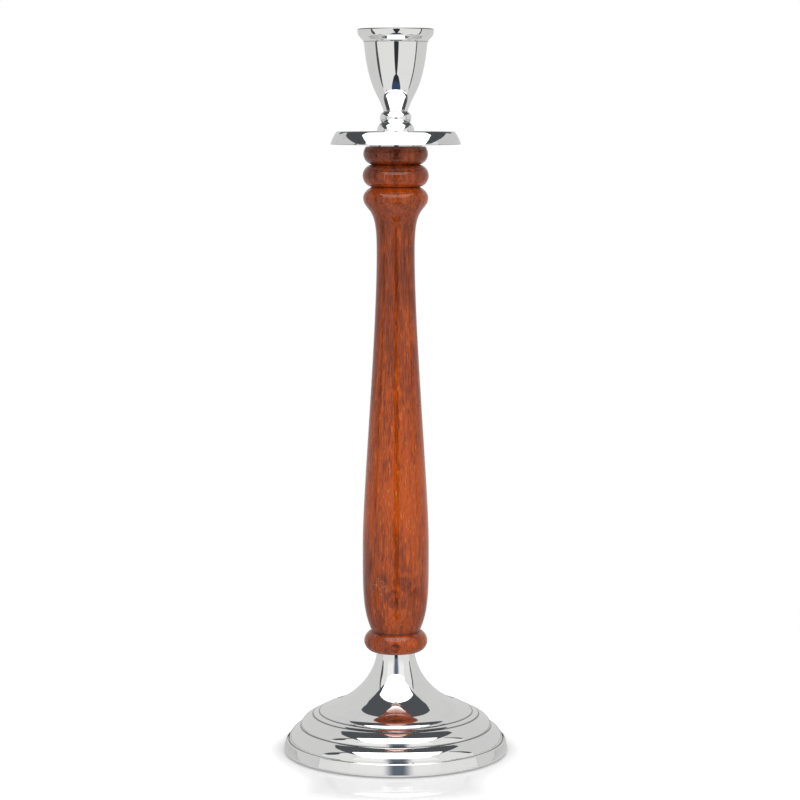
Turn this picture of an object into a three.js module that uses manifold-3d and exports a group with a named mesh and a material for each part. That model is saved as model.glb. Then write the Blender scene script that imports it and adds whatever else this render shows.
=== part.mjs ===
// Table candlestick for one taper candle. A turned wood column is clamped between polished castings:
// a stepped bell foot below it, a drip pan and a tulip cup above it. A tie rod runs through the stack
// from a nut in the hollow foot up into the cup. A board and a felt pad close the foot.
// Millimetres, +Z up, origin at the centre of the face that the candlestick stands on.
// Every turned piece is drawn in its own frame, with its seat at height zero.

import * as THREE from 'three';
import Module from 'manifold-3d';
import { mergeVertices } from 'three/addons/utils/BufferGeometryUtils.js';

// Fits between pieces
const seatGap = 0.05; // joint line between two stacked faces
const spigotGap = 0.3; // around a spigot, and around the board and the felt in the foot
const spigotEndGap = 0.5; // beyond the end of a spigot
const rodGap = 0.4; // around the tie rod in the metal pieces
const boreGap = 1; // around the tie rod in the wood

// Facets: sides of the turned pieces and steps along their curves
const castingSides = 40;
const columnSides = 36;
const rodSides = 16;
const roundSteps = 2;
const mouldingSteps = 6;
const sweepSteps = 9;

// Felt pad and the board that carries it
const feltThickness = 2;
const feltProud = 0.8; // how far the felt stands below the foot's edge
const feltEdgeRound = 0.5;
const boardThickness = 2;
const boardShelf = 2.5; // width of the ledge in the foot that the board rests against

// Foot casting, from its lower edge up and inwards
const footRadius = 63.5;
const footRim = 3.2; // wall left around the board and the felt
const footEdgeRound = 1.2;
const footBandLean = 1.3; // how much narrower the top of the foot band is
const footBandHeight = 6.9;
const footBandRound = 0.6;
const footLedge = 1;
const footLedgeDrop = 0.6; // the ledge falls this much from the band to the lower step
const lowerStepWidth = 6.7;
const lowerStepHeight = 7.8;
const upperStepWidth = 6.9;
const upperStepHeight = 6.8;
const stepFoot = { lean: 0, share: 0.52 };
const stepCrown = { lean: -2.7, share: 0.15 };
const ringWidth = 3.7;
const ringRise = 0.36;
const ringLift = 1.2; // the bell side of the ring stands this much above its outer side
const bellEdgeWidth = 5.6; // the bell's edge, which rolls over and down to the ring
const bellEdgeHeight = 3.3;
const bellEdgeRise = 0.25;
const bellHeight = 34.8;
const neckRadius = 10.6;
const bellToe = { lean: -2.38, share: 0.11 };
const bellNeck = { lean: -0.11, share: 0.585 };
const footWall = 3.2;
const bossDepth = 20; // solid metal under the neck
const bossRadius = 14.5;
const hollowCrown = { lean: -0.35, share: 0.28 };
const hollowToe = { lean: -2.6, share: 0.14 };

// Spigots that centre the column on the foot and the pan on the column
const neckSeat = 2.6; // face left around the foot's spigot
const footSpigotHeight = 5;
const panSpigotHeight = 3.5;

// Wood column: mouldings from the bottom up
const columnLength = 284.1;
const neckOverhang = 2.8; // the column's lower face beyond the neck
const footBeadHeight = 11.6;
const footBeadCrown = 17.85;
const quirkRadius = 13.9; // plain strip between the foot bead and the belly
const quirkHeight = 0.9;
const bellyRadius = 18.62;
const bellyHeight = 48.8;
const bellyFoot = { lean: 0.44, share: 0.24 };
const bellyCrown = { lean: 0, share: 0.51 };
const waistRadius = 10.6;
const shaftFoot = { lean: 0, share: 0.18 };
const shaftWaist = { lean: 0, share: 0.285 };
const coveHeight = 23.7;
const coveTopRadius = 15.2;
const coveWaist = { lean: 0, share: 0.68 };
const coveTop = { lean: 0.81, share: 0.16 };
const lowBeadHeight = 12.15;
const lowBeadCrown = 18.1;
const lowBeadFoot = { lean: 0.81, share: 0.35 };
const lowBeadUnder = { lean: 0, share: 0.41 };
const lowBeadOver = { lean: 0, share: 0.44 };
const lowBeadGroove = { lean: -2.1, share: 0.19 };
const middleGrooveRadius = 13.3;
const middleBeadHeight = 12.35;
const middleBeadCrown = 18.35;
const topGrooveRadius = 13.3;
const topBeadHeight = 9.95;
const topBeadCrown = 17.8;
const columnTopFace = 16.35;

// Drip pan, an upside-down dish: heights above the column's top face
const panRadius = 36.2;
const panSideLean = 3.4; // how much narrower the pan's top edge is
const panSideBulge = 0.35;
const panLipClear = 1.1; // the pan's lower edge above the column
const panLipWidth = 1.8;
const panFloorHeight = 7.2;
const panRimRise = 0.8; // the rim above the floor that the wax runs to
const panRimWidth = 2.4;
const panRimBulge = 0.25;
const panThickness = 2.5;
const panBossInset = 1.85; // the pan's boss inside the column's top face

// Candle and the socket that takes it
const candleDiameter = 22.2;
const candlePlay = 0.4; // on the diameter, at the bottom of the socket
const socketDepth = 26;
const socketDraft = 0.3; // the socket's mouth is wider than its floor by this much on the radius
const socketBase = 19.05; // the socket's floor above the top of the stem
const socketWeb = 7.25; // metal between the socket and the tapped hole below it
const mouthRound = 1;

// Candle cup, from its foot up
const cupFootRadius = 10.4;
const cupFootEdge = 1.2;
const cupFootHeight = 6.1;
const cupFootBulge = 0.5;
const stemLowRadius = 7.9;
const stemBeadHeight = 5.8;
const stemBeadRise = 1.35;
const stemRadius = 6.65;
const stemHeight = 0.3;
const cupWall = 6.3; // around the bottom of the socket's bore, measured at the shoulder
const cupBodyFoot = { lean: 0.3, share: 0.28 };
const cupBodyTop = { lean: 0.1, share: 0.71 };
const shoulderStep = 0.25;
const ogeeHeight = 4.2;
const ogeeFoot = { lean: 0.2, share: 0.36 };
const ogeeTop = { lean: 0.5, share: 0.36 };
const rimOverhang = 3.45; // the rim beyond the shoulder
const rimBandHeight = 2.95;
const rimBandLean = 0.5;
const rimBandRise = 0.2;
const rimEdgeRound = 0.3;
const rimLipWidth = 1.4;
const rimDish = 1.6; // depth of the dished rim at the mouth of the socket

// Tie rod and the fasteners under the foot's boss
const rodRadius = 3;
const rodChamfer = 0.6;
const rodBelowNut = 3;
const threadRunout = 2; // tapped hole beyond the rod's end
const nutAcrossFlats = 10;
const nutHeight = 5;
const nutChamferAngle = Math.PI / 6;
const lockWasherRadius = 5.9;
const lockWasherThickness = 1.6;
const lockWasherSplit = 1.2;
const flatWasherRadius = 9;
const flatWasherThickness = 1.6;

// Sizes that several pieces share
const rodHole = rodRadius + rodGap;
const spigotRadius = neckRadius - neckSeat;
const rebateRadius = footRadius - footRim;
const rebateDepth = feltThickness + seatGap + boardThickness + seatGap - feltProud;
const padRadius = rebateRadius - spigotGap;

// Heights in the foot, above its lower edge
const lowerStepZ = footBandHeight - footLedgeDrop;
const upperStepZ = lowerStepZ + lowerStepHeight;
const ringZ = upperStepZ + upperStepHeight;
const bellZ = ringZ + ringLift;
const neckZ = bellZ + bellHeight;
const bossZ = neckZ - bossDepth;

// Heights in the cup, above its foot
const stemZ = cupFootHeight + stemBeadHeight;
const bodyZ = stemZ + stemHeight;
const socketZ = bodyZ + socketBase;
const tappedDepth = socketZ - socketWeb;
const cupHeight = socketZ + socketDepth;
const bandZ = cupHeight - rimBandHeight;
const shoulderZ = bandZ - ogeeHeight;

// Heights in the stack
const boardZ = feltThickness + seatGap;
const footZ = feltProud;
const columnZ = footZ + neckZ + seatGap;
const panZ = columnZ + columnLength + seatGap;
const cupZ = panZ + panFloorHeight + seatGap;
const flatWasherZ = footZ + bossZ - seatGap - flatWasherThickness;
const lockWasherZ = flatWasherZ - seatGap - lockWasherThickness;
const nutZ = lockWasherZ - seatGap - nutHeight;
const rodZ = nutZ - rodBelowNut;
const rodLength = cupZ + tappedDepth - threadRunout - rodZ;

// An outline of radius and height, drawn up the outside of a piece and down its inside
class Outline {
  constructor(radius, height) {
    this.points = [new THREE.Vector2(radius, height)];
  }

  get last() {
    return this.points.at(-1);
  }

  follow(curve, steps) {
    this.points.push(...curve.getPoints(steps).slice(1));
    return this;
  }

  lineTo(radius, height) {
    this.points.push(new THREE.Vector2(radius, height));
    return this;
  }

  // Circular arc that stands out from its chord by the given rise, to the right of its run
  bulgeTo(radius, height, rise, steps) {
    const start = this.last;
    const end = new THREE.Vector2(radius, height);
    const chord = end.clone().sub(start);
    const outward = new THREE.Vector2(chord.y, -chord.x).normalize();
    const arcRadius = (chord.lengthSq() / 4 + rise * rise) / (2 * rise);
    const centre = start.clone().add(end).multiplyScalar(0.5).addScaledVector(outward, rise - arcRadius);
    const from = start.clone().sub(centre).angle();
    const to = end.clone().sub(centre).angle();
    const arc = new THREE.EllipseCurve(centre.x, centre.y, arcRadius, arcRadius, from, to, rise < 0);
    return this.follow(arc, steps);
  }

  // Bead whose crown reaches the given radius between its two grooves
  beadTo(radius, height, crown, steps) {
    return this.bulgeTo(radius, height, crown - (this.last.x + radius) / 2, steps);
  }

  // Cubic curve. The handle at each end takes its share of the curve's height,
  // and its lean is the change of radius for each millimetre of that height.
  sweepTo(radius, height, leaving, arriving, steps) {
    const { x, y } = this.last;
    const rise = height - y;
    const first = new THREE.Vector2(x + leaving.lean * leaving.share * rise, y + leaving.share * rise);
    const second = new THREE.Vector2(
      radius - arriving.lean * arriving.share * rise,
      height - arriving.share * rise,
    );
    const end = new THREE.Vector2(radius, height);
    return this.follow(new THREE.CubicBezierCurve(this.last, first, second, end), steps);
  }

  close() {
    return this.lineTo(this.points[0].x, this.points[0].y);
  }
}

// Solid of revolution about Z
function turn(outline, sides) {
  return new THREE.LatheGeometry(outline.points, sides).rotateX(Math.PI / 2);
}

const wasm = await Module();
wasm.setup();

function toSolid(geometry) {
  const bare = geometry.clone();
  bare.deleteAttribute('normal');
  bare.deleteAttribute('uv');
  const merged = mergeVertices(bare);
  const vertProperties = new Float32Array(merged.attributes.position.array);
  const triVerts = new Uint32Array(merged.index.array);
  return new wasm.Manifold(new wasm.Mesh({ numProp: 3, vertProperties, triVerts }));
}

function toGeometry(solid) {
  const { vertProperties, triVerts } = solid.getMesh();
  const geometry = new THREE.BufferGeometry();
  geometry.setAttribute('position', new THREE.BufferAttribute(vertProperties, 3));
  geometry.setIndex(new THREE.BufferAttribute(triVerts, 1));
  geometry.computeVertexNormals();
  return geometry;
}

function feltPad() {
  const outline = new Outline(0, 0)
    .lineTo(padRadius - feltEdgeRound, 0)
    .lineTo(padRadius, feltEdgeRound)
    .lineTo(padRadius, feltThickness)
    .lineTo(0, feltThickness);
  return turn(outline, castingSides);
}

function backingBoard() {
  const outline = new Outline(0, 0)
    .lineTo(padRadius, 0)
    .lineTo(padRadius, boardThickness)
    .lineTo(0, boardThickness);
  return turn(outline, castingSides);
}

// Foot band, two rounded steps, a low ring, and the bell that rises from a rolled edge to the neck.
// Inside, the hollow keeps one wall from each step and ends in a boss under the neck.
function footCasting() {
  const bandTop = footRadius - footBandLean;
  const lowerStepRadius = bandTop - footBandRound - footLedge;
  const upperStepRadius = lowerStepRadius - lowerStepWidth;
  const ringOuter = upperStepRadius - upperStepWidth;
  const ringInner = ringOuter - ringWidth;
  const shelfRadius = rebateRadius - boardShelf;
  const cornerInset = footWall * Math.SQRT1_2;
  const roundRise = 1 - Math.SQRT1_2;
  const outline = new Outline(rebateRadius, 0)
    .lineTo(footRadius - footEdgeRound, 0)
    .bulgeTo(footRadius, footEdgeRound, footEdgeRound * roundRise, roundSteps)
    .lineTo(bandTop, footBandHeight - footBandRound)
    .bulgeTo(bandTop - footBandRound, footBandHeight, footBandRound * roundRise, roundSteps)
    .lineTo(lowerStepRadius, lowerStepZ)
    .sweepTo(upperStepRadius, upperStepZ, stepFoot, stepCrown, mouldingSteps)
    .sweepTo(ringOuter, ringZ, stepFoot, stepCrown, mouldingSteps)
    .bulgeTo(ringInner, bellZ, ringRise, mouldingSteps / 2)
    .bulgeTo(ringInner - bellEdgeWidth, bellZ + bellEdgeHeight, bellEdgeRise, mouldingSteps / 2)
    .sweepTo(neckRadius, neckZ, bellToe, bellNeck, sweepSteps)
    .lineTo(spigotRadius, neckZ)
    .lineTo(spigotRadius, neckZ + footSpigotHeight)
    .lineTo(rodHole, neckZ + footSpigotHeight)
    .lineTo(rodHole, bossZ)
    .lineTo(bossRadius, bossZ)
    .sweepTo(ringInner - footWall, bellZ - footWall, hollowCrown, hollowToe, mouldingSteps)
    .lineTo(upperStepRadius - cornerInset, upperStepZ - cornerInset)
    .lineTo(shelfRadius, rebateDepth + boardShelf)
    .lineTo(shelfRadius, rebateDepth)
    .lineTo(rebateRadius, rebateDepth)
    .close();
  return turn(outline, castingSides);
}

// Vase-shaped column with three beads at its head and one at its foot, bored for the rod
// and counterbored at both ends for the spigots
function woodColumn() {
  const boreRadius = rodRadius + boreGap;
  const boreFoot = footSpigotHeight + spigotEndGap;
  const boreHead = columnLength - panSpigotHeight - spigotEndGap;
  const counterboreRadius = spigotRadius + spigotGap;
  const quirkZ = footBeadHeight + quirkHeight;
  const bellyZ = quirkZ + bellyHeight;
  const topGrooveZ = columnLength - topBeadHeight;
  const middleGrooveZ = topGrooveZ - middleBeadHeight;
  const coveTopZ = middleGrooveZ - lowBeadHeight;
  const lowCrownZ = (coveTopZ + middleGrooveZ) / 2;
  const waistZ = coveTopZ - coveHeight;
  const outline = new Outline(counterboreRadius, 0)
    .lineTo(neckRadius + neckOverhang, 0)
    .beadTo(quirkRadius, footBeadHeight, footBeadCrown, mouldingSteps)
    .lineTo(quirkRadius, quirkZ)
    .sweepTo(bellyRadius, bellyZ, bellyFoot, bellyCrown, sweepSteps)
    .sweepTo(waistRadius, waistZ, shaftFoot, shaftWaist, sweepSteps)
    .sweepTo(coveTopRadius, coveTopZ, coveWaist, coveTop, mouldingSteps)
    .sweepTo(lowBeadCrown, lowCrownZ, lowBeadFoot, lowBeadUnder, mouldingSteps / 2)
    .sweepTo(middleGrooveRadius, middleGrooveZ, lowBeadOver, lowBeadGroove, mouldingSteps / 2)
    .beadTo(topGrooveRadius, topGrooveZ, middleBeadCrown, mouldingSteps)
    .beadTo(columnTopFace, columnLength, topBeadCrown, mouldingSteps)
    .lineTo(counterboreRadius, columnLength)
    .lineTo(counterboreRadius, boreHead)
    .lineTo(boreRadius, boreHead)
    .lineTo(boreRadius, boreFoot)
    .lineTo(counterboreRadius, boreFoot)
    .close();
  return turn(outline, columnSides);
}

// Cast dish, hollow below around a boss that seats on the column, with a spigot below the boss
function dripPan() {
  const rimRadius = panRadius - panSideLean;
  const roofZ = panFloorHeight - panThickness;
  const bossEdge = columnTopFace - panBossInset;
  const outline = new Outline(rodHole, -panSpigotHeight)
    .lineTo(spigotRadius, -panSpigotHeight)
    .lineTo(spigotRadius, 0)
    .lineTo(bossEdge, 0)
    .lineTo(bossEdge, roofZ)
    .lineTo(rimRadius - panThickness, roofZ)
    .lineTo(panRadius - panLipWidth, panLipClear)
    .lineTo(panRadius, panLipClear)
    .bulgeTo(rimRadius, panFloorHeight + panRimRise, panSideBulge, mouldingSteps)
    .bulgeTo(rimRadius - panRimWidth, panFloorHeight, panRimBulge, mouldingSteps / 2)
    .lineTo(rodHole, panFloorHeight)
    .close();
  return turn(outline, castingSides);
}

// Tulip cup on a beaded stem: tapped from below for the rod, with a drafted socket for the candle
function candleCup() {
  const floorRadius = (candleDiameter + candlePlay) / 2;
  const mouthRadius = floorRadius + socketDraft;
  const mouthZ = cupHeight - rimDish;
  const shoulderRadius = floorRadius + cupWall;
  const rimRadius = shoulderRadius + rimOverhang;
  const outline = new Outline(0, tappedDepth)
    .lineTo(rodHole, tappedDepth)
    .lineTo(rodHole, 0)
    .lineTo(cupFootRadius, 0)
    .lineTo(cupFootRadius, cupFootEdge)
    .bulgeTo(stemLowRadius, cupFootHeight, cupFootBulge, mouldingSteps / 2)
    .bulgeTo(stemRadius, stemZ, stemBeadRise, mouldingSteps)
    .lineTo(stemRadius, bodyZ)
    .sweepTo(shoulderRadius, shoulderZ, cupBodyFoot, cupBodyTop, sweepSteps)
    .lineTo(shoulderRadius + shoulderStep, shoulderZ)
    .sweepTo(rimRadius - rimBandLean, bandZ, ogeeFoot, ogeeTop, mouldingSteps)
    .bulgeTo(rimRadius, cupHeight - rimEdgeRound, rimBandRise, mouldingSteps / 2)
    .lineTo(rimRadius - rimEdgeRound, cupHeight)
    .lineTo(rimRadius - rimEdgeRound - rimLipWidth, cupHeight)
    .lineTo(mouthRadius + mouthRound, mouthZ)
    .lineTo(mouthRadius, mouthZ - mouthRound)
    .lineTo(floorRadius, socketZ)
    .lineTo(0, socketZ);
  return turn(outline, columnSides);
}

function tieRod() {
  const outline = new Outline(0, 0)
    .lineTo(rodRadius - rodChamfer, 0)
    .lineTo(rodRadius, rodChamfer)
    .lineTo(rodRadius, rodLength - rodChamfer)
    .lineTo(rodRadius - rodChamfer, rodLength)
    .lineTo(0, rodLength);
  return turn(outline, rodSides);
}

// A flat outline raised to a thickness
function raise(shape, thickness) {
  return new THREE.ExtrudeGeometry(shape, {
    depth: thickness,
    bevelEnabled: false,
    curveSegments: rodSides / 2,
  });
}

function rodHolePath() {
  return new THREE.Path().absarc(0, 0, rodHole, 0, 2 * Math.PI, true);
}

function flatWasher() {
  const ring = new THREE.Shape().absarc(0, 0, flatWasherRadius, 0, 2 * Math.PI, false);
  ring.holes.push(rodHolePath());
  return raise(ring, flatWasherThickness);
}

// Spring washer drawn flat, as it lies when the nut is tight, with its split left open
function lockWasher() {
  const outerHalf = Math.asin(lockWasherSplit / 2 / lockWasherRadius);
  const innerHalf = Math.asin(lockWasherSplit / 2 / rodHole);
  const ring = new THREE.Shape()
    .absarc(0, 0, lockWasherRadius, outerHalf, 2 * Math.PI - outerHalf, false)
    .absarc(0, 0, rodHole, 2 * Math.PI - innerHalf, innerHalf, true);
  return raise(ring, lockWasherThickness);
}

// Hexagon whose corners are chamfered on both faces by a turned double cone
function rodNut() {
  const faceRadius = nutAcrossFlats / 2;
  const cornerRadius = faceRadius / Math.cos(Math.PI / 6);
  const centre = new THREE.Vector2();
  const corners = Array.from({ length: 6 }, (_, side) =>
    new THREE.Vector2(cornerRadius, 0).rotateAround(centre, (side * Math.PI) / 3));
  const hexagon = new THREE.Shape(corners);
  hexagon.holes.push(rodHolePath());
  const chamferHeight = (cornerRadius - faceRadius) * Math.tan(nutChamferAngle);
  const doubleCone = new Outline(0, 0)
    .lineTo(faceRadius, 0)
    .lineTo(cornerRadius, chamferHeight)
    .lineTo(cornerRadius, nutHeight - chamferHeight)
    .lineTo(faceRadius, nutHeight)
    .lineTo(0, nutHeight);
  const prism = toSolid(raise(hexagon, nutHeight));
  return toGeometry(prism.intersect(toSolid(turn(doubleCone, columnSides))));
}

const polished = { color: 0xe4e4e2, roughness: 0.06, metalness: 1 };
const zincPlated = { color: 0xb9bcbe, roughness: 0.35, metalness: 1 };
const stainedWood = { color: 0x7a3320, roughness: 0.3, metalness: 0 };
const greyBoard = { color: 0x6e6a63, roughness: 0.9, metalness: 0 };
const greenFelt = { color: 0x1f3a2c, roughness: 1, metalness: 0 };

const candlestick = new THREE.Group();

function place(name, geometry, finish, height) {
  const mesh = new THREE.Mesh(geometry, new THREE.MeshStandardMaterial(finish));
  mesh.name = name;
  mesh.position.z = height;
  candlestick.add(mesh);
}

place('felt_pad', feltPad(), greenFelt, 0);
place('backing_board', backingBoard(), greyBoard, boardZ);
place('foot_casting', footCasting(), polished, footZ);
place('wood_column', woodColumn(), stainedWood, columnZ);
place('drip_pan', dripPan(), polished, panZ);
place('candle_cup', candleCup(), polished, cupZ);
place('tie_rod', tieRod(), zincPlated, rodZ);
place('flat_washer', flatWasher(), zincPlated, flatWasherZ);
place('lock_washer', lockWasher(), zincPlated, lockWasherZ);
place('rod_nut', rodNut(), zincPlated, nutZ);

export default candlestick;
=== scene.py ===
import math

import bpy
import numpy as np
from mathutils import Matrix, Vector


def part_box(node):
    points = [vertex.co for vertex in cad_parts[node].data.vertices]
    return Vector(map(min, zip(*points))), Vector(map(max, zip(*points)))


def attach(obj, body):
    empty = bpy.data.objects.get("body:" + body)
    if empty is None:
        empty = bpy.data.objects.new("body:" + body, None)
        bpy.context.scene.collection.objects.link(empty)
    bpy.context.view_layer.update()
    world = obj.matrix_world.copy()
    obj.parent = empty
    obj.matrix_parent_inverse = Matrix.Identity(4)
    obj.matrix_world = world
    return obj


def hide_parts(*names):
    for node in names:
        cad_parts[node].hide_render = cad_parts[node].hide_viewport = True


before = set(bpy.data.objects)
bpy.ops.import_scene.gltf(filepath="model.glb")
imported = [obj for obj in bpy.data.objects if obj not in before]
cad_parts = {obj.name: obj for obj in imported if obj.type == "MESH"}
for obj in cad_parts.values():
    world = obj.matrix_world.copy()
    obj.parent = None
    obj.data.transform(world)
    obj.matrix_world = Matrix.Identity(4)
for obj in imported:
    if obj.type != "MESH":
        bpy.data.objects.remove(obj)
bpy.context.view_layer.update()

mm = 0.001
print("frame loaded:", len(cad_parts), "nodes")


# Outlines are drawn in millimetres of radius and height, up the outside of a piece and down its inside.
class Outline:
    curvePoints = 60

    def __init__(self, radius, height):
        self.points = np.array([[radius, height]], float)
        self.creases = []

    # The last point is a corner that gets a painted dark line: painted shade, with some polish residue in
    # the metal's creases
    def crease(self):
        self.creases.append(self.points[-1])
        return self

    def follow(self, points):
        self.points = np.vstack([self.points, points[1:]])
        return self

    def lineTo(self, radius, height):
        return self.follow(np.array([self.points[-1], [radius, height]]))

    # Circular arc on a chord: it stands out by rise to the right of its run
    def bulgeTo(self, radius, height, rise):
        start, end = self.points[-1], np.array([radius, height])
        chord = end - start
        length = np.hypot(*chord)
        halfTurn = 2 * math.atan(2 * rise / length)
        arcRadius = length / 2 / math.sin(halfTurn)
        turn = np.linspace(-halfTurn, halfTurn, self.curvePoints)
        along = np.outer(arcRadius * np.sin(turn), chord / length)
        out = np.outer(arcRadius * (np.cos(turn) - math.cos(halfTurn)), [chord[1], -chord[0]]) / length
        return self.follow((start + end) / 2 + along + out)

    # Arc whose crown reaches the given radius between its two ends
    def beadTo(self, radius, height, crown):
        return self.bulgeTo(radius, height, crown - (self.points[-1, 0] + radius) / 2)

    # Cubic curve: each handle takes a share of the height and leans by so much radius for each millimetre
    def sweepTo(self, radius, height, leaving, arriving):
        start, end = self.points[-1], np.array([radius, height])
        rise = height - start[1]
        first = start + np.array([leaving[0], 1]) * leaving[1] * rise
        second = end - np.array([arriving[0], 1]) * arriving[1] * rise
        t = np.linspace(0, 1, self.curvePoints)[:, None]
        curve = (1 - t)**3 * start + 3 * (1 - t)**2 * t * first + 3 * (1 - t) * t**2 * second + t**3 * end
        return self.follow(curve)

    def close(self):
        return self.lineTo(*self.points[0])


# Length run along an outline up to each of its points
def runLength(points):
    steps = np.hypot(*np.diff(points, axis=0).T)
    return np.concatenate([[0], np.cumsum(steps)])


# Sharp corners get the small round that finishing leaves: the outline is walked in even steps,
# and each point becomes the mean of its neighbours under a bell-shaped weight.
def softened(points, softness):
    closed = np.allclose(points[0], points[-1])
    length = runLength(points)
    steps = 4  # in one softness, which is the bell's standard width
    count = int(length[-1] / (softness / steps))
    even = np.linspace(0, length[-1], count + 1)
    walk = np.column_stack([np.interp(even, length, points[:, side]) for side in (0, 1)])
    reach = 3 * steps
    weight = np.exp(-0.5 * (np.arange(-reach, reach + 1) / steps)**2)
    weight /= weight.sum()
    if closed:
        padded = np.vstack([walk[-reach - 1:-1], walk, walk[1:reach + 1]])
    else:
        padded = np.pad(walk, ((reach, reach), (0, 0)), mode="reflect", reflect_type="odd")
    return np.column_stack([np.convolve(padded[:, side], weight, mode="valid") for side in (0, 1)])


# Points are kept at even steps of turning plus running, so curves get many and flats few,
# and every creaseStep on both sides of a crease
def thinned(points, creases, creaseStep, turnStep, runStep):
    ahead = np.diff(points, axis=0)
    heading = np.unwrap(np.arctan2(ahead[:, 1], ahead[:, 0]))
    turning = np.concatenate([[0], np.abs(np.diff(heading)), [0]])
    length = runLength(points)
    cost = np.cumsum(turning) / math.radians(turnStep) + length / runStep
    kept = np.linspace(0, cost[-1], int(math.ceil(cost[-1])) + 1)
    if len(creases):
        apart = np.linalg.norm(points[:, None] - creases, axis=-1)
        creaseRows = 6
        offsets = creaseStep * np.arange(-creaseRows, creaseRows + 1)
        around = np.add.outer(length[apart.argmin(axis=0)], offsets)
        kept = np.union1d(kept, np.interp(around.ravel(), length, cost))
    return np.column_stack([np.interp(kept, cost, points[:, side]) for side in (0, 1)])


# Surface of revolution: every outline point (r, z) goes to (r cos a, r sin a, z) for all angles a.
# A closed outline makes a ring of rows, and one that ends on the axis makes a pole at each end.
# The crease mark, painted shade with some polish residue on metal, fades from 1 in a crease as a bell curve
# of the distance to it.
def turned(outline, sides, softness, lift, turnStep=3.0, runStep=3.0, creaseShadeWidth=0.22):
    creases = np.array(outline.creases).reshape(-1, 2)
    points = thinned(softened(outline.points, softness), creases, creaseShadeWidth / 2, turnStep, runStep)
    apart = np.linalg.norm(points[:, None] - creases, axis=-1)
    soil = np.exp(-(apart / creaseShadeWidth)**2).max(axis=1, initial=0)
    angle = np.arange(sides) * 2 * math.pi / sides
    closed = np.allclose(points[0], points[-1])
    rows = points[:-1] if closed else points[1:-1]
    soil = np.repeat(soil[:-1] if closed else soil[1:-1], sides)
    radius, height = rows[:, :1], rows[:, 1:]
    grid = np.stack([radius * np.cos(angle), radius * np.sin(angle), height + 0 * angle], axis=-1)
    index = np.arange(grid.shape[0] * sides).reshape(-1, sides)
    below = np.vstack([index, index[:1]]) if closed else index
    low, high = below[:-1], below[1:]
    faces = np.stack([low, np.roll(low, -1, 1), np.roll(high, -1, 1), high], axis=-1)
    faces = faces.reshape(-1, 4).tolist()
    vertices = grid.reshape(-1, 3)
    if not closed:
        poles = np.array([[0, 0, points[0, 1]], [0, 0, points[-1, 1]]])
        first = np.column_stack([np.full(sides, len(vertices)), np.roll(index[0], -1), index[0]])
        last = np.column_stack([index[-1], np.roll(index[-1], -1), np.full(sides, len(vertices) + 1)])
        vertices = np.vstack([vertices, poles])
        faces += first.tolist() + last.tolist()
        soil = np.append(soil, [0, 0])
    return (vertices + [0, 0, lift]) * mm, faces, soil


# Puts a piece into the scene: it rides on the one body and stands for its node
def addPiece(name, surface, material, node):
    vertices, faces, soil = surface
    mesh = bpy.data.meshes.new(name)
    mesh.from_pydata(vertices.tolist(), [], faces)
    mesh.shade_smooth()
    # The crease mark that the materials darken by: painted shade, with some polish residue on metal
    mesh.attributes.new("soil", "FLOAT", "POINT").data.foreach_set("value", soil.astype(np.float32))
    mesh.materials.append(material)
    piece = bpy.data.objects.new(name, mesh)
    bpy.context.scene.collection.objects.link(piece)
    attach(piece, "root")
    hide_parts(node)
    print("made", name, "with", len(mesh.polygons), "faces")
    return piece


# A socket that takes part in Python expressions; each operator adds a Math node
class Wire:
    def __init__(self, shade, socket):
        self.shade = shade
        self.socket = socket

    def math(self, operation, *others):
        return self.shade.node("ShaderNodeMath", {"operation": operation}, dict(enumerate((self, *others))))

    def reflected(self, operation, other):
        return self.shade.node("ShaderNodeMath", {"operation": operation}, {0: other, 1: self})

    def __add__(self, other):
        return self.math("ADD", other)

    def __radd__(self, other):
        return self.reflected("ADD", other)

    def __sub__(self, other):
        return self.math("SUBTRACT", other)

    def __rsub__(self, other):
        return self.reflected("SUBTRACT", other)

    def __mul__(self, other):
        return self.math("MULTIPLY", other)

    def __rmul__(self, other):
        return self.reflected("MULTIPLY", other)

    def __truediv__(self, other):
        return self.math("DIVIDE", other)

    def __rtruediv__(self, other):
        return self.reflected("DIVIDE", other)

    def __neg__(self):
        return self.math("MULTIPLY", -1)

    def __abs__(self):
        return self.math("ABSOLUTE")

    # 0 below low, 1 above high, smooth between
    def rise(self, low, high):
        return self.shade.node("ShaderNodeMapRange", {"interpolation_type": "SMOOTHSTEP"},
                               {"Value": self, "From Min": low, "From Max": high})


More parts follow.
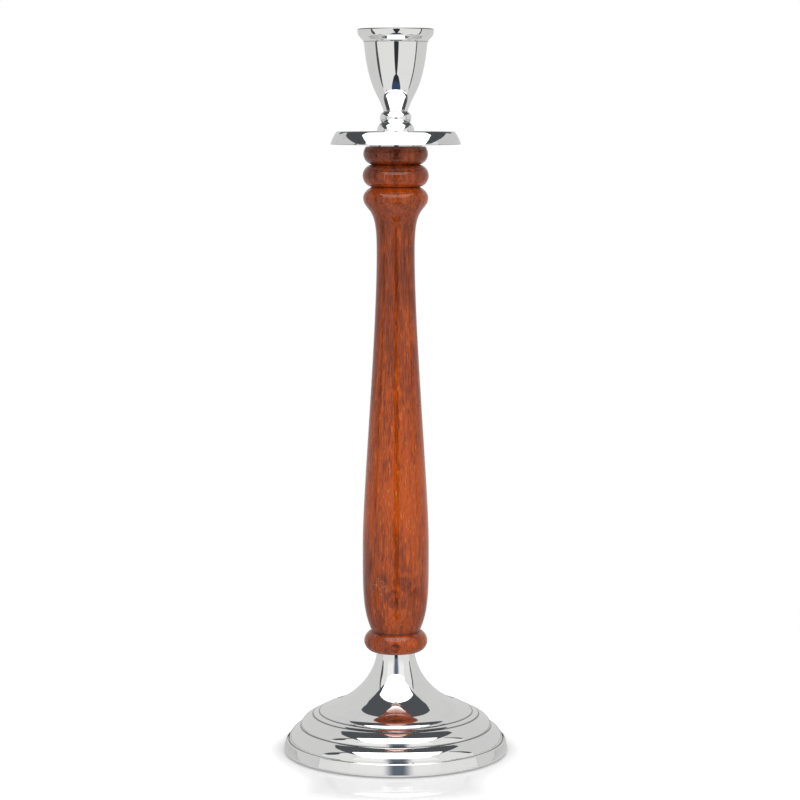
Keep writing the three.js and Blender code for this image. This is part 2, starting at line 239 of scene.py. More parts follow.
class Shade:
    def __init__(self, tree):
        self.tree = tree
        tree.nodes.clear()

    # Any node: its settings are set first, then its sockets are filled or linked
    def node(self, kind, settings=None, inputs=None, output=0):
        made = self.tree.nodes.new(kind)
        for name, value in (settings or {}).items():
            if name == "stops":
                self.fillRamp(made.color_ramp.elements, value)
            else:
                setattr(made, name, value)
        for name, value in (inputs or {}).items():
            if isinstance(value, Wire):
                self.tree.links.new(value.socket, made.inputs[name])
            else:
                made.inputs[name].default_value = value
        return Wire(self, made.outputs[output]) if made.outputs else made

    def coordinates(self, output="Object"):
        return self.node("ShaderNodeTexCoord", output=output)

    def parts(self, vector):
        return [self.node("ShaderNodeSeparateXYZ", inputs={0: vector}, output=axis) for axis in range(3)]

    def joined(self, x, y, z):
        return self.node("ShaderNodeCombineXYZ", inputs={0: x, 1: y, 2: z})

    def stretched(self, vector, scale):
        return self.node("ShaderNodeMapping", inputs={"Vector": vector, "Scale": scale})

    def noise(self, vector, scale, detail=2.0, roughness=0.5, distortion=0.0):
        return self.node("ShaderNodeTexNoise", inputs={
            "Vector": vector, "Scale": scale, "Detail": detail, "Roughness": roughness,
            "Distortion": distortion})

    def blend(self, factor, first, second):
        return self.node("ShaderNodeMix", {"data_type": "RGBA"}, {0: factor, 6: first, 7: second}, output=2)

    def fillRamp(self, elements, stops):
        while len(elements) < len(stops):
            elements.new(0.5)
        for element, (place, tint) in zip(elements, stops):
            element.position = place
            element.color = tint

    # Straight lines through (place, height) points, as a ramp from the first place to the last
    def curve(self, value, places, heights):
        low, high, peak = places[0], places[-1], max(heights)
        stops = [((place - low) / (high - low), grey(height / peak))
                 for place, height in zip(places, heights)]
        return self.node("ShaderNodeValToRGB", {"stops": stops}, {0: (value - low) / (high - low)}) * peak

    def attribute(self, name):
        return self.node("ShaderNodeAttribute", {"attribute_name": name}, output="Fac")

    def bump(self, height, distance, strength=1.0):
        return self.node("ShaderNodeBump", inputs={"Height": height, "Distance": distance,
                                                   "Strength": strength})

    def mixShader(self, factor, first, second):
        return self.node("ShaderNodeMixShader", inputs={0: factor, 1: first, 2: second})


def newMaterial(name):
    material = bpy.data.materials.new(name)
    material.use_nodes = True
    return material, Shade(material.node_tree)


# A Principled surface with the given sockets, wired to the material's output
def finishWith(shade, inputs):
    surface = shade.node("ShaderNodeBsdfPrincipled", inputs=inputs)
    shade.node("ShaderNodeOutputMaterial", inputs={"Surface": surface})


def colour(red, green, blue):
    return (red, green, blue, 1.0)


def grey(level):
    return colour(level, level, level)


# Mirror-polished casting: almost clear, with a trace of haze, spinning lines and a few pits, and painted
# shade with some polish residue darkening its creases
polishedMetal = dict(
    clear=colour(0.905, 0.905, 0.895), hazy=colour(0.86, 0.865, 0.865), pit=colour(0.30, 0.30, 0.30),
    roughness=0.03, hazeRoughness=0.035, hazeScale=60.0, hazeRange=(0.45, 0.75),
    waveScale=45.0, waveHeight=0.000006, lineScale=2600.0, lineHeight=0.00000012,
    pitScale=210.0, pitShare=0.035, pitFull=0.9, pitSize=(0.04, 0.12), pitHeight=0.00004,
    pitTint=0.8, pitRoughness=0.3,
    soil=colour(0.06, 0.06, 0.06), shadeAndMarksDepth=0.95, soilRoughness=0.2)
# The pan is less finely polished: duller, with more haze and more pits
panMetal = dict(polishedMetal, clear=colour(0.84, 0.84, 0.835), hazy=colour(0.74, 0.75, 0.75),
                hazeScale=420.0, waveScale=160.0, waveHeight=0.000012, pitShare=0.06)


def makePolishedMetal(name, look):
    material, shade = newMaterial(name)
    place = shade.coordinates()
    x, y, z = shade.parts(place)
    radius = (x * x + y * y).math("SQRT")
    haze = shade.noise(place, look["hazeScale"], detail=4.0, roughness=0.6).rise(*look["hazeRange"])
    wave = shade.noise(place, look["waveScale"], detail=1.0)
    lines = shade.noise(shade.joined(radius, 0.0, z), look["lineScale"])
    cells = {"Vector": place, "Scale": look["pitScale"]}
    cell = shade.node("ShaderNodeTexVoronoi", inputs=cells)
    chance = shade.parts(shade.node("ShaderNodeTexVoronoi", inputs=cells, output="Color"))[0]
    chosen = chance.rise(1 - look["pitShare"], 1 - look["pitFull"] * look["pitShare"])
    pit = chosen * (1 - cell.rise(*look["pitSize"]))
    # Painted shade, with some polish residue, darkens and dulls the creases
    soil = shade.attribute("soil")
    tint = shade.blend(haze, look["clear"], look["hazy"])
    tint = shade.blend(soil * look["shadeAndMarksDepth"], tint, look["soil"])
    dullness = haze * look["hazeRoughness"] + pit * look["pitRoughness"] + soil * look["soilRoughness"]
    relief = wave * look["waveHeight"] + lines * look["lineHeight"] - pit * look["pitHeight"]
    finishWith(shade, {
        "Base Color": shade.blend(pit * look["pitTint"], tint, look["pit"]),
        "Metallic": 1.0,
        "Roughness": look["roughness"] + dullness,
        "Normal": shade.bump(relief, 1.0)})
    return material


# Red-brown stained hardwood under lacquer. The stain is laid on unevenly: its tone against the height in
# metres runs from 0, deep, to 1, warm, and painted shade darkens the left side and lightens the right.
# Clouds, a flame figure and fine streaks vary it, with short pale flecks, dark pores, a smudge low on the
# belly, scuffs beside it, a nick in the foot bead and painted shade in the grooves.
lacqueredWood = dict(
    deep=colour(0.105, 0.017, 0.004), body=colour(0.29, 0.046, 0.007), warm=colour(0.56, 0.085, 0.005),
    fleck=colour(0.70, 0.22, 0.045), pore=colour(0.07, 0.011, 0.005), shadeAndNick=colour(0.020, 0.006, 0.004),
    scuff=colour(0.36, 0.20, 0.14),
    stainHeight=(0.05, 0.075, 0.10, 0.14, 0.20, 0.27, 0.302, 0.318, 0.330, 0.345),
    stainTone=(0.68, 0.66, 0.60, 1.00, 0.74, 0.40, 0.52, 0.82, 0.38, 0.34), sideShade=7.0,
    bodyTone=(-0.1, 0.55), warmTone=(0.45, 1.1), fleckTone=(0.35, 1.1),
    # Grain: scale, its share along the column, and depth or range
    cloud=(70.0, 0.30, 0.55), figure=(380.0, 0.12, 0.75), streak=(1700.0, 0.09, 0.85),
    fleckGrain=(1700.0, 0.13, (0.58, 0.70)), fleckDepth=0.85, poreGrain=(2600.0, 0.06, (0.60, 0.70)),
    poreTint=0.65, shadeAndNickDepth=0.9,
    # Patches on the front: middle across and up, reach across and up, depth; and their grain
    smudge=((0.001, 0.098), (0.017, 0.015), 0.60), smudgeGrain=(130.0, (0.42, 0.62)),
    scuffs=((-0.0095, 0.0970), (0.006, 0.006), 0.85), scuffGrain=(480.0, 2.0, (0.55, 0.64)),
    nick=((-0.0008, 0.0630), (0.0048, 0.0026), 1.0), nickGrain=(700.0, (0.46, 0.58)),
    patchFade=(0.1, 1.0), patchFront=(0.0, 0.004),
    gloss=0.43, roughness=0.07, poreRoughness=0.06, wornRoughness=0.3,
    poreDepth=0.000025, fleckRelief=0.4, reliefStrength=0.6)


# Soft patch on the front of the column: 1 at its middle, 0 outside its reach across and up
def frontPatch(x, y, z, patch):
    middle, reach, depth = patch
    across = (x - middle[0]) / reach[0]
    along = (z - middle[1]) / reach[1]
    inside = 1 - (across * across + along * along).rise(*lacqueredWood["patchFade"])
    return inside * (-y).rise(*lacqueredWood["patchFront"]) * depth


def makeLacqueredWood():
    look = lacqueredWood
    material, shade = newMaterial("stained_wood")
    place = shade.coordinates()
    x, y, z = shade.parts(place)
    # The side term paints the left side darker and the right lighter: painted shade
    stain = shade.curve(z, look["stainHeight"], look["stainTone"]) + x * look["sideShade"]
    for name in ("cloud", "figure", "streak"):
        scale, length, depth = look[name]
        along = shade.stretched(place, (1, 1, length))
        grain = shade.noise(along, scale, detail=3.0, roughness=0.55, distortion=0.4)
        stain = stain + (grain - 0.5) * 2 * depth
    scale, length, limits = look["fleckGrain"]
    fleck = shade.noise(shade.stretched(place, (1, 1, length)), scale).rise(*limits)
    scale, length, limits = look["poreGrain"]
    pore = shade.noise(shade.stretched(place, (1, 1, length)), scale).rise(*limits)
    scale, limits = look["smudgeGrain"]
    blotches = shade.noise(place, scale, detail=4.0, roughness=0.6).rise(*limits)
    smudge = frontPatch(x, y, z, look["smudge"]) * blotches
    scale, length, limits = look["scuffGrain"]
    scratches = shade.noise(shade.stretched(place, (1, 1, length)), scale).rise(*limits)
    scuffs = frontPatch(x, y, z, look["scuffs"]) * scratches
    scale, limits = look["nickGrain"]
    nick = frontPatch(x, y, z, look["nick"]) * shade.noise(place, scale).rise(*limits)
    # Painted shade in the grooves, joined with the real nick in the foot bead
    soil = shade.attribute("soil").math("MAXIMUM", nick)
    tone = stain - smudge
    wood = shade.blend(tone.rise(*look["bodyTone"]), look["deep"], look["body"])
    wood = shade.blend(tone.rise(*look["warmTone"]), wood, look["warm"])
    wood = shade.blend(fleck * tone.rise(*look["fleckTone"]) * look["fleckDepth"], wood, look["fleck"])
    wood = shade.blend(pore * look["poreTint"], wood, look["pore"])
    wood = shade.blend(scuffs, wood, look["scuff"])
    wood = shade.blend(soil * look["shadeAndNickDepth"], wood, look["shadeAndNick"])
    dullness = pore * look["poreRoughness"] + (scuffs + soil) * look["wornRoughness"]
    relief = fleck * look["fleckRelief"] - pore
    finishWith(shade, {
        "Base Color": wood,
        "Specular IOR Level": look["gloss"],
        "Roughness": look["roughness"] + dullness,
        "Normal": shade.bump(relief, look["poreDepth"], look["reliefStrength"])})
    return material


# Bright zinc plate on steel: slightly mottled
zincPlate = dict(
    light=colour(0.72, 0.73, 0.75), dull=colour(0.55, 0.56, 0.57), scale=900.0, dullRange=(0.35, 0.7),
    roughness=0.28, roughnessSpread=0.15, relief=0.00002, reliefStrength=0.4)


def makeZincPlate():
    look = zincPlate
    material, shade = newMaterial("zinc_plated_steel")
    place = shade.coordinates()
    mottle = shade.noise(place, look["scale"], detail=3.0)
    finishWith(shade, {
        "Base Color": shade.blend(mottle.rise(*look["dullRange"]), look["light"], look["dull"]),
        "Metallic": 1.0,
        "Roughness": look["roughness"] + mottle * look["roughnessSpread"],
        "Normal": shade.bump(mottle, look["relief"], look["reliefStrength"])})
    return material


# Pressed fibre board: grey-brown with long pale fibres
fibreBoard = dict(
    ground=colour(0.17, 0.15, 0.12), fibre=colour(0.36, 0.32, 0.27), scale=420.0, fibreRange=(0.4, 0.65),
    roughness=0.85, roughnessSpread=0.1, relief=0.0002, reliefStrength=0.5)


def makeFibreBoard():
    look = fibreBoard
    material, shade = newMaterial("grey_board")
    place = shade.coordinates()
    fibres = shade.noise(place, look["scale"], detail=5.0, roughness=0.7, distortion=1.5)
    finishWith(shade, {
        "Base Color": shade.blend(fibres.rise(*look["fibreRange"]), look["ground"], look["fibre"]),
        "Roughness": look["roughness"] + fibres * look["roughnessSpread"],
        "Normal": shade.bump(fibres, look["relief"], look["reliefStrength"])})
    return material


# Pressed wool felt: short fibres in all directions over a dark green ground
pressedFelt = dict(
    ground=colour(0.018, 0.050, 0.030), fibre=colour(0.075, 0.16, 0.10),
    scale=1300.0, fibreRange=(0.38, 0.7), clumpScale=260.0, clumpRange=(0.3, 0.7), clumpShare=0.45,
    roughness=0.92, roughnessSpread=0.08, sheen=0.4, clumpRelief=0.5, relief=0.0004, reliefStrength=0.8)


def makePressedFelt():
    look = pressedFelt
    material, shade = newMaterial("green_felt")
    place = shade.coordinates()
    fibres = shade.noise(place, look["scale"], detail=6.0, roughness=0.75, distortion=2.5)
    clumps = shade.noise(place, look["clumpScale"], detail=4.0, roughness=0.6).rise(*look["clumpRange"])
    share = look["clumpShare"]
    lightness = fibres.rise(*look["fibreRange"]) * (1 - share) + clumps * share
    finishWith(shade, {
        "Base Color": shade.blend(lightness, look["ground"], look["fibre"]),
        "Roughness": look["roughness"] + fibres * look["roughnessSpread"],
        "Sheen Weight": look["sheen"],
        "Normal": shade.bump(fibres + clumps * look["clumpRelief"], look["relief"], look["reliefStrength"])})
    return material


metal = makePolishedMetal("polished_metal", polishedMetal)
duller = makePolishedMetal("pan_metal", panMetal)
wood = makeLacqueredWood()
zinc = makeZincPlate()
board = makeFibreBoard()
felt = makePressedFelt()
print("materials ready")


# Foot: band, ledge, two rounded steps, low ring, bell with a rolled edge, neck; hollow, with a boss inside
footCasting = dict(
    rim=3.2, edgeRound=1.2, bandLean=1.3, bandHeight=6.9, bandRound=0.6, ledge=1.0, ledgeDrop=0.6,
    lowerStep=(6.7, 7.8), upperStep=(6.9, 6.8), stepFoot=(0.0, 0.52), stepCrown=(-2.7, 0.15),
    ringWidth=3.7, ringRise=0.45, ringLift=1.2, edgeWidth=5.6, edgeLift=3.3,
    edgeFoot=(-0.35, 0.45), edgeCrown=(-3.6, 0.25),
    bellToe=(-3.4, 0.08), bellNeck=(-0.11, 0.585), neckRadius=10.6, neckSeat=2.6, spigot=5.0,
    wall=3.2, bossDepth=20.0, bossRadius=14.5, hollowCrown=(-0.35, 0.28), hollowToe=(-2.6, 0.14),
    rebateDepth=3.3, shelf=2.5, rodHole=3.4, softness=0.22, creaseShadeWidth=0.42,
    sides=144)


def makeFoot():
    size = footCasting
    low, high = (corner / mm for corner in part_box("foot_casting"))
    radius, neckZ = high.x, high.z - low.z - size["spigot"]
    bandTop = radius - size["bandLean"]
    stepRadius = bandTop - size["bandRound"] - size["ledge"]
    stepZ = size["bandHeight"] - size["ledgeDrop"]
    upperRadius, upperZ = stepRadius - size["lowerStep"][0], stepZ + size["lowerStep"][1]
    ringRadius, ringZ = upperRadius - size["upperStep"][0], upperZ + size["upperStep"][1]
    bellRadius, bellZ = ringRadius - size["ringWidth"], ringZ + size["ringLift"]
    edgeRadius = bellRadius - size["edgeWidth"]
    spigotRadius = size["neckRadius"] - size["neckSeat"]
    bossZ = neckZ - size["bossDepth"]
    rebate = radius - size["rim"]
    shelf = rebate - size["shelf"]
    corner = size["wall"] * math.sqrt(0.5)
    roundRise = 1 - math.sqrt(0.5)
    outline = (
        Outline(rebate, 0)
        # The dark line at the foot's bottom edge is a painted contact shadow
        .lineTo(radius - size["edgeRound"], 0).crease()
        .bulgeTo(radius, size["edgeRound"], size["edgeRound"] * roundRise)
        .lineTo(bandTop, size["bandHeight"] - size["bandRound"])
        .bulgeTo(bandTop - size["bandRound"], size["bandHeight"], size["bandRound"] * roundRise)
        .lineTo(stepRadius, stepZ).crease()
        .sweepTo(upperRadius, upperZ, size["stepFoot"], size["stepCrown"]).crease()
        .sweepTo(ringRadius, ringZ, size["stepFoot"], size["stepCrown"]).crease()
        .bulgeTo(bellRadius, bellZ, size["ringRise"]).crease()
        .sweepTo(edgeRadius, bellZ + size["edgeLift"], size["edgeFoot"], size["edgeCrown"])
        .sweepTo(size["neckRadius"], neckZ, size["bellToe"], size["bellNeck"])
        .lineTo(spigotRadius, neckZ)
        .lineTo(spigotRadius, neckZ + size["spigot"])
        .lineTo(size["rodHole"], neckZ + size["spigot"])
        .lineTo(size["rodHole"], bossZ)
        .lineTo(size["bossRadius"], bossZ)
        .sweepTo(bellRadius - size["wall"], bellZ - size["wall"], size["hollowCrown"], size["hollowToe"])
        .lineTo(upperRadius - corner, upperZ - corner)
        .lineTo(shelf, size["rebateDepth"] + size["shelf"])
        .lineTo(shelf, size["rebateDepth"])
        .lineTo(rebate, size["rebateDepth"])
        .close())
    surface = turned(outline, size["sides"], size["softness"], low.z, creaseShadeWidth=size["creaseShadeWidth"])
    addPiece("polished_foot", surface, metal, "foot_casting")


# Column: foot bead, plain strip, belly, waist, cove and three beads; bored and counterbored inside
woodColumn = dict(
    neckOverhang=2.8, footBead=(11.6, 17.85), quirkRadius=13.9, quirkHeight=0.9,
    belly=(18.62, 48.8), bellyFoot=(0.44, 0.24), bellyCrown=(0.0, 0.51),
    waistRadius=10.6, shaftFoot=(0.0, 0.18), shaftWaist=(0.0, 0.285),
    cove=(15.2, 23.7), coveWaist=(0.0, 0.68), coveTop=(0.81, 0.16),
    lowBead=(12.15, 18.1), lowBeadFoot=(0.81, 0.35), lowBeadUnder=(0.0, 0.41), lowBeadOver=(0.0, 0.44),
    lowBeadGroove=(-2.1, 0.19), middleBead=(12.35, 18.35), topBead=(9.95, 17.8), grooveRadius=13.3,
    topFace=16.35, boreRadius=4.0, counterbore=8.3, footBore=5.5, headBore=4.0,
    softness=0.3, creaseShadeWidth=0.65, sides=128)


def makeColumn():
    size = woodColumn
    low, high = (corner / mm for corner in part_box("wood_column"))
    length = high.z - low.z
    quirkZ = size["footBead"][0] + size["quirkHeight"]
    bellyZ = quirkZ + size["belly"][1]
    topGrooveZ = length - size["topBead"][0]
    middleGrooveZ = topGrooveZ - size["middleBead"][0]
    coveZ = middleGrooveZ - size["lowBead"][0]
    outline = (
        Outline(size["counterbore"], 0)
        .lineTo(footCasting["neckRadius"] + size["neckOverhang"], 0)
        .beadTo(size["quirkRadius"], size["footBead"][0], size["footBead"][1]).crease()
        .lineTo(size["quirkRadius"], quirkZ)
        .sweepTo(size["belly"][0], bellyZ, size["bellyFoot"], size["bellyCrown"])
        .sweepTo(size["waistRadius"], coveZ - size["cove"][1], size["shaftFoot"], size["shaftWaist"])
        .sweepTo(size["cove"][0], coveZ, size["coveWaist"], size["coveTop"])
        .sweepTo(size["lowBead"][1], (coveZ + middleGrooveZ) / 2, size["lowBeadFoot"], size["lowBeadUnder"])
        .sweepTo(size["grooveRadius"], middleGrooveZ, size["lowBeadOver"], size["lowBeadGroove"]).crease()
        .beadTo(size["grooveRadius"], topGrooveZ, size["middleBead"][1]).crease()
        .beadTo(size["topFace"], length, size["topBead"][1])
        .lineTo(size["counterbore"], length)
        .lineTo(size["counterbore"], length - size["headBore"])
        .lineTo(size["boreRadius"], length - size["headBore"])
        .lineTo(size["boreRadius"], size["footBore"])
        .lineTo(size["counterbore"], size["footBore"])
        .close())
    surface = turned(outline, size["sides"], size["softness"], low.z, creaseShadeWidth=size["creaseShadeWidth"])
    addPiece("turned_column", surface, wood, "wood_column")


# Pan: an upside-down dish with a low rim, hollow below around the boss that seats on the column
dripPan = dict(
    sideLean=3.4, sideBulge=0.35, lipClear=1.1, lipWidth=1.8, rimRise=0.8, rimWidth=2.4, rimBulge=0.25,
    thickness=2.5, bossRadius=14.5, spigotRadius=8.0, spigot=3.5, rodHole=3.4, softness=0.16, sides=144)


def makePan():
    size = dripPan
    low, high = (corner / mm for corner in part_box("drip_pan"))
    seat = low.z + size["spigot"]
    radius, rimZ = high.x, high.z - seat
    floorZ = rimZ - size["rimRise"]
    roofZ = floorZ - size["thickness"]
    rimRadius = radius - size["sideLean"]
    outline = (
        Outline(size["rodHole"], -size["spigot"])
        .lineTo(size["spigotRadius"], -size["spigot"])
        .lineTo(size["spigotRadius"], 0)
        .lineTo(size["bossRadius"], 0)
        .lineTo(size["bossRadius"], roofZ)
        .lineTo(rimRadius - size["thickness"], roofZ)
        .lineTo(radius - size["lipWidth"], size["lipClear"])
        .lineTo(radius, size["lipClear"]).crease()
        .bulgeTo(rimRadius, rimZ, size["sideBulge"])
        .bulgeTo(rimRadius - size["rimWidth"], floorZ, size["rimBulge"])
        .lineTo(size["rodHole"], floorZ)
        .close())
    surface = turned(outline, size["sides"], size["softness"], seat)
    addPiece("polished_pan", surface, duller, "drip_pan")


# Cup: foot, beaded stem, tulip body, shoulder step, ogee and rim band; socket above, tapped hole below
candleCup = dict(
    footRadius=10.4, footEdge=1.2, footHeight=6.1, footBulge=0.5, stemLow=7.9, stemBead=(5.8, 1.35),
    stemRadius=6.65, stemHeight=0.3, socketBase=19.05, socketRadius=11.3, socketDraft=0.3, socketWeb=7.25,
    wall=6.3, bodyFoot=(0.3, 0.28), bodyTop=(0.1, 0.71), shoulderStep=0.25, ogeeHeight=3.65,
    ogeeFoot=(0.2, 0.36), ogeeTop=(0.48, 0.32), bandHeight=3.5, bandLean=0.5, bandRise=0.17, edgeRound=0.3,
    lipWidth=1.4, dish=1.6, mouthRound=1.0, rodHole=3.4, softness=0.12, sides=144)


def makeCup():
    size = candleCup
    low, high = (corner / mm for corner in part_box("candle_cup"))
    height, rimRadius = high.z - low.z, high.x
    stemZ = size["footHeight"] + size["stemBead"][0]
    bodyZ = stemZ + size["stemHeight"]
    socketZ = bodyZ + size["socketBase"]
    tappedZ = socketZ - size["socketWeb"]
    bandZ = height - size["bandHeight"]
    shoulderZ = bandZ - size["ogeeHeight"]
    shoulder = size["socketRadius"] + size["wall"]
    mouth = size["socketRadius"] + size["socketDraft"]
    mouthZ = height - size["dish"]
    outline = (
        Outline(0, tappedZ)
        .lineTo(size["rodHole"], tappedZ)
        .lineTo(size["rodHole"], 0)
        .lineTo(size["footRadius"], 0)
        .lineTo(size["footRadius"], size["footEdge"])
        .bulgeTo(size["stemLow"], size["footHeight"], size["footBulge"]).crease()
        .bulgeTo(size["stemRadius"], stemZ, size["stemBead"][1]).crease()
        .lineTo(size["stemRadius"], bodyZ)
        .sweepTo(shoulder, shoulderZ, size["bodyFoot"], size["bodyTop"])
        .lineTo(shoulder + size["shoulderStep"], shoulderZ).crease()
        .sweepTo(rimRadius - size["bandLean"], bandZ, size["ogeeFoot"], size["ogeeTop"])
        .bulgeTo(rimRadius, height - size["edgeRound"], size["bandRise"]).crease()
        .lineTo(rimRadius - size["edgeRound"], height)
        .lineTo(rimRadius - size["edgeRound"] - size["lipWidth"], height)
        .lineTo(mouth + size["mouthRound"], mouthZ)
        .lineTo(mouth, mouthZ - size["mouthRound"])
        .lineTo(size["socketRadius"], socketZ)
        .lineTo(0, socketZ))
    surface = turned(outline, size["sides"], size["softness"], low.z)
    addPiece("polished_cup", surface, metal, "candle_cup")


makeFoot()
makeColumn()
makePan()
makeCup()

# Board and felt discs that close the foot
closingDiscs = dict(feltRound=0.5, boardRound=0.2, softness=0.12, turnStep=12.0, runStep=4.0, sides=144)


def makeDisc(name, node, edgeRound, material):
    size = closingDiscs
    low, high = (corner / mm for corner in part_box(node))
    radius, thickness = high.x, high.z - low.z
    outline = (
        Outline(0, 0)
        .lineTo(radius - edgeRound, 0)
        .lineTo(radius, edgeRound)
        .lineTo(radius, thickness)
        .lineTo(0, thickness))
    surface = turned(outline, size["sides"], size["softness"], low.z, size["turnStep"], size["runStep"])
    return addPiece(name, surface, material, node)


feltDisc = makeDisc("felt_disc", "felt_pad", closingDiscs["feltRound"], felt)
makeDisc("backing_disc", "backing_board", closingDiscs["boardRound"], board)

for node in ("tie_rod", "flat_washer", "lock_washer", "rod_nut"):
    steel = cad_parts[node]
    steel.data.materials.clear()
    steel.data.materials.append(zinc)
print("pieces ready")


# Studio: a white tent with an open top, a sloping roof light in front and a scrim round the camera.
# Each panel is a flat outline of (x, y, z) corners in metres that glows evenly; the walls' outlines are
# (y, z) and the back's (x, z), with the sagging top edge of the cloth.
studio = dict(
    side=0.37, back=0.29, wallLight=0.655, frontLight=0.80, backLight=0.655, roofLight=2.7,
    wallShare=0.25, leftShare=0.2, rightShare=0.6, roofShare=0.4,
    leftBehind=[(-0.075, 0), (0.29, 0), (0.29, 0.66), (0.20, 0.59), (0.12, 0.565), (-0.02, 0.535),
                (-0.075, 0.53)],
    leftAhead=[(-0.38, 0), (-0.076, 0), (-0.076, 0.10), (-0.115, 0.115), (-0.15, 0.20), (-0.155, 0.28),
               (-0.125, 0.36), (-0.11, 0.45), (-0.105, 0.53), (-0.17, 0.53), (-0.34, 0.605), (-0.38, 0.605)],
    rightBehind=[(-0.035, 0), (0.29, 0), (0.29, 0.62), (0.10, 0.58), (-0.035, 0.565)],
    rightAhead=[(-0.38, 0), (-0.036, 0), (-0.036, 0.10), (-0.065, 0.115), (-0.075, 0.20), (-0.065, 0.40),
                (-0.060, 0.47), (-0.037, 0.50), (-0.037, 0.56), (-0.14, 0.555), (-0.38, 0.60)],
    backLeft=[(-0.37, 0), (-0.05, 0), (-0.05, 0.54), (-0.10, 0.535), (-0.17, 0.50), (-0.232, 0.475),
              (-0.295, 0.545), (-0.37, 0.66)],
    backRight=[(0.05, 0), (0.37, 0), (0.37, 0.62), (0.28, 0.53), (0.218, 0.475), (0.16, 0.495),
               (0.10, 0.525), (0.05, 0.535)],
    roof=[(-0.12, -0.55, 0.474), (0.14, -0.55, 0.474), (0.28, -0.50, 0.506), (0.43, -0.42, 0.557),
          (0.46, -0.02, 0.813), (-0.42, -0.05, 0.793), (-0.40, -0.42, 0.557), (-0.26, -0.50, 0.506)])
# A soft lamp in front gives the wood and the table their light; mirrors see the tent in its place
frontLamp = dict(place=(0.1, -1.15, 0.75), aim=(0, 0, 0.2), size=0.8, power=4.9)
# Scrim: half width of its gap in degrees against the direction's climb in degrees, and what the gap shows.
# Each pair that ends in Climb is the range of climb over which one look turns into the next.
scrim = dict(
    light=0.80, edge=60.0, top=45.0, feather=1.0, gapCentre=2.7, gapSoft=0.7, gapSofter=6.0,
    softClimb=(2, 10), gapClimb=(-40, -34), gapAboveClimb=(5, 12), upperClimb=(6, 22), belowClimb=(-12, -6),
    climb=(-52, -50, -44, -36.7, -31, -29.3, -28, -24.5, -17.7, -10.8, -5, 8, 26, 45),
    gapHalf=(0, 28, 27, 19, 12, 7, 3.4, 5.0, 7.2, 8.7, 10.5, 10.0, 12.5, 13.0), upperLight=0.95,
    room=colour(0.080, 0.086, 0.092), gap=colour(0.030, 0.033, 0.037), gapBelow=colour(0.040, 0.065, 0.14),
    gapAbove=colour(0.12, 0.15, 0.19), below=colour(0.6, 0.6, 0.6))


# A panel's glow, of which matt surfaces get only a share
def addPanel(name, corners, light, share):
    mesh = bpy.data.meshes.new(name)
    mesh.from_pydata(corners, [], [range(len(corners))])
    material, shade = newMaterial(name)
    matt = shade.node("ShaderNodeLightPath", output="Is Diffuse Ray")
    tint = shade.blend(matt, grey(light), grey(light * share))
    glow = shade.node("ShaderNodeEmission", inputs={"Color": tint, "Strength": 1.0})
    shade.node("ShaderNodeOutputMaterial", inputs={"Surface": glow})
    mesh.materials.append(material)
    panel = bpy.data.objects.new(name, mesh)
    panel.visible_camera = False
    bpy.context.scene.collection.objects.link(panel)


def lightStudio():
    for name, side, light, share in (("leftBehind", -1, "wallLight", "wallShare"),
                                     ("leftAhead", -1, "frontLight", "leftShare"),
                                     ("rightBehind", 1, "wallLight", "wallShare"),
                                     ("rightAhead", 1, "frontLight", "rightShare")):
        corners = [(side * studio["side"], y, z) for y, z in studio[name]]
        addPanel(name, corners, studio[light], studio[share])
    for name in ("backLeft", "backRight"):
        corners = [(x, studio["back"], z) for x, z in studio[name]]
        addPanel(name, corners, studio["backLight"], studio["wallShare"])
    addPanel("roof", studio["roof"], studio["roofLight"], studio["roofShare"])
    lamp = bpy.data.lights.new("front_lamp", "AREA")
    lamp.size = frontLamp["size"]
    lamp.energy = frontLamp["power"]
    holder = bpy.data.objects.new("front_lamp", lamp)
    holder.location = frontLamp["place"]
    holder.rotation_euler = (Vector(frontLamp["aim"]) - holder.location).to_track_quat("-Z", "Y").to_euler()
    holder.visible_glossy = False
    bpy.context.scene.collection.objects.link(holder)


# The world is the scrim round the camera, with its gap, and the dim room above; the camera sees plain white
def lightRoom():
    world = bpy.data.worlds.new("studio_room")
    bpy.context.scene.world = world
    world.use_nodes = True
    shade = Shade(world.node_tree)
    x, y, z = shade.parts(shade.coordinates("Generated"))
    turn = x.math("ARCTAN2", -y) * math.degrees(1)
    climb = z.math("ARCSINE") * math.degrees(1)
    half = shade.curve(climb, scrim["climb"], scrim["gapHalf"])
    aside = abs(turn - scrim["gapCentre"])
    soft = scrim["gapSoft"] + climb.rise(*scrim["softClimb"]) * scrim["gapSofter"]
    gap = 1 - ((aside - half) / soft).rise(-1, 1)
    edge, top, feather = scrim["edge"], scrim["top"], scrim["feather"]
    reach = 1 - abs(turn).rise(edge - feather, edge + feather)
    reach = reach * (1 - climb.rise(top - feather, top + feather))
    dark = shade.blend(climb.rise(*scrim["gapClimb"]), scrim["gapBelow"], scrim["gap"])
    dark = shade.blend(climb.rise(*scrim["gapAboveClimb"]), dark, scrim["gapAbove"])
    cloth = shade.blend(climb.rise(*scrim["upperClimb"]), grey(scrim["light"]), grey(scrim["upperLight"]))
    front = shade.blend(gap, cloth, dark)
    matt = shade.node("ShaderNodeLightPath", output="Is Diffuse Ray")
    below = matt * (1 - climb.rise(*scrim["belowClimb"]))
    room = shade.blend(below, scrim["room"], scrim["below"])
    room = shade.blend(reach, room, front)
    seen = shade.node("ShaderNodeLightPath", output="Is Camera Ray")
    sky = shade.blend(seen, room, grey(1))
    background = shade.node("ShaderNodeBackground", inputs={"Color": sky})
    shade.node("ShaderNodeOutputWorld", inputs={"Surface": background})


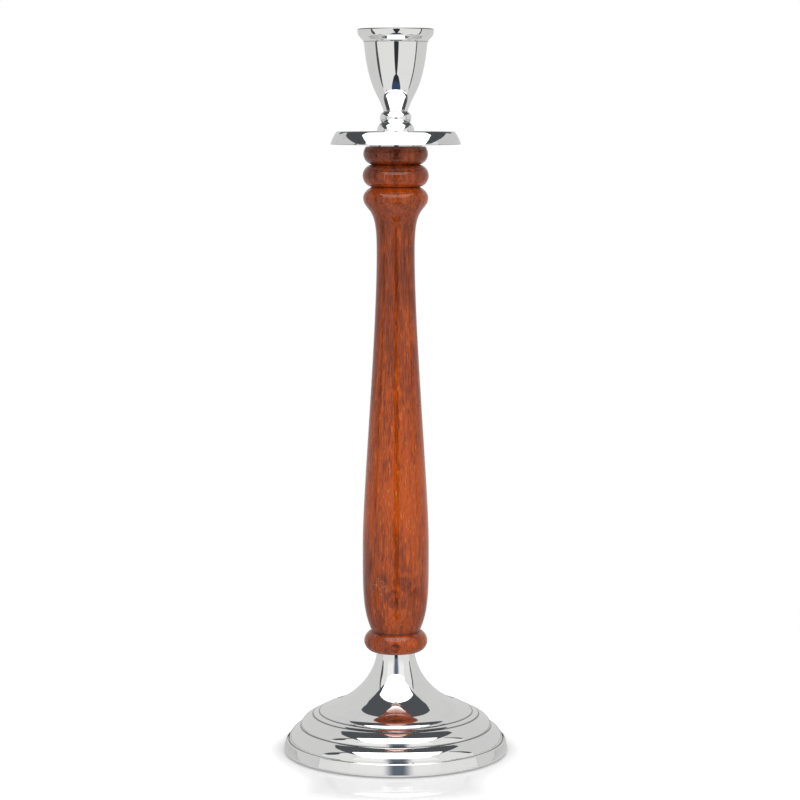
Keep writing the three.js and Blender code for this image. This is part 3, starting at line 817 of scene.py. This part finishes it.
# White table: lit as any pale surface, with a faint gloss. For the camera it is lifted to nearly white by
# the foot and to white further out, sooner beside and behind it, and a little for mirrors. It is open under
# the felt.
table = dict(
    halfWidth=0.37, front=-0.125, back=0.29, paint=colour(0.82, 0.82, 0.82), liftNear=0.295, liftFar=0.9,
    ahead=(0.085, 0.15), aside=(0.060, 0.085), beside=(0.035, 0.072), behind=(-0.05, 0.02), mirrorLift=0.1,
    gloss=0.09, glossRoughness=0.04, open=0.0585)


def makeTable():
    corners = [(-table["halfWidth"], table["front"], 0), (table["halfWidth"], table["front"], 0),
               (table["halfWidth"], table["back"], 0), (-table["halfWidth"], table["back"], 0)]
    mesh = bpy.data.meshes.new("table_top")
    mesh.from_pydata(corners, [], [(0, 1, 2, 3)])
    material, shade = newMaterial("white_table")
    paint = shade.node("ShaderNodeBsdfDiffuse", inputs={"Color": table["paint"]})
    seen, mirrored, through = (shade.node("ShaderNodeLightPath", output=name)
                               for name in ("Is Camera Ray", "Is Glossy Ray", "Is Transmission Ray"))
    x, y = shade.parts(shade.coordinates())[:2]
    radius = (x * x + y * y).math("SQRT")
    beside = abs(x).rise(*table["beside"]).math("MAXIMUM", y.rise(*table["behind"]))
    aside = radius.rise(*table["aside"]) * beside
    outward = radius.rise(*table["ahead"]).math("MAXIMUM", aside)
    lift = seen * (table["liftNear"] + outward * (table["liftFar"] - table["liftNear"]))
    lift = lift + mirrored.math("MAXIMUM", through) * table["mirrorLift"]
    tint = shade.blend(lift, grey(0), grey(1))
    glow = shade.node("ShaderNodeEmission", inputs={"Color": tint, "Strength": 1.0})
    pale = shade.node("ShaderNodeAddShader", inputs={0: paint, 1: glow})
    sheen = shade.node("ShaderNodeBsdfAnisotropic",
                       inputs={"Color": grey(1), "Roughness": table["glossRoughness"]})
    surface = shade.mixShader(table["gloss"], pale, sheen)
    below = shade.node("ShaderNodeNewGeometry", output="Backfacing")
    unseen = below.math("MAXIMUM", radius.math("LESS_THAN", table["open"]))
    clear = shade.node("ShaderNodeBsdfTransparent")
    shade.node("ShaderNodeOutputMaterial", inputs={"Surface": shade.mixShader(unseen, surface, clear)})
    mesh.materials.append(material)
    top = bpy.data.objects.new("table_top", mesh)
    bpy.context.scene.collection.objects.link(top)


lightStudio()
lightRoom()
makeTable()
print("studio ready")

# Camera at the photograph's height, distance and tilt
view = dict(place=(0.0024, -1.413, 0.363), tilt=6.56, focalPixels=2539.0, imagePixels=800.0, sensor=36.0)
camera = bpy.data.cameras.new("camera")
camera.sensor_width = view["sensor"]
camera.lens = view["sensor"] * view["focalPixels"] / view["imagePixels"]
cameraHolder = bpy.data.objects.new("camera", camera)
cameraHolder.location = view["place"]
cameraHolder.rotation_euler = (math.radians(90 - view["tilt"]), 0, 0)
bpy.context.scene.collection.objects.link(cameraHolder)
bpy.context.scene.camera = cameraHolder
bpy.context.scene.view_settings.view_transform = "Standard"
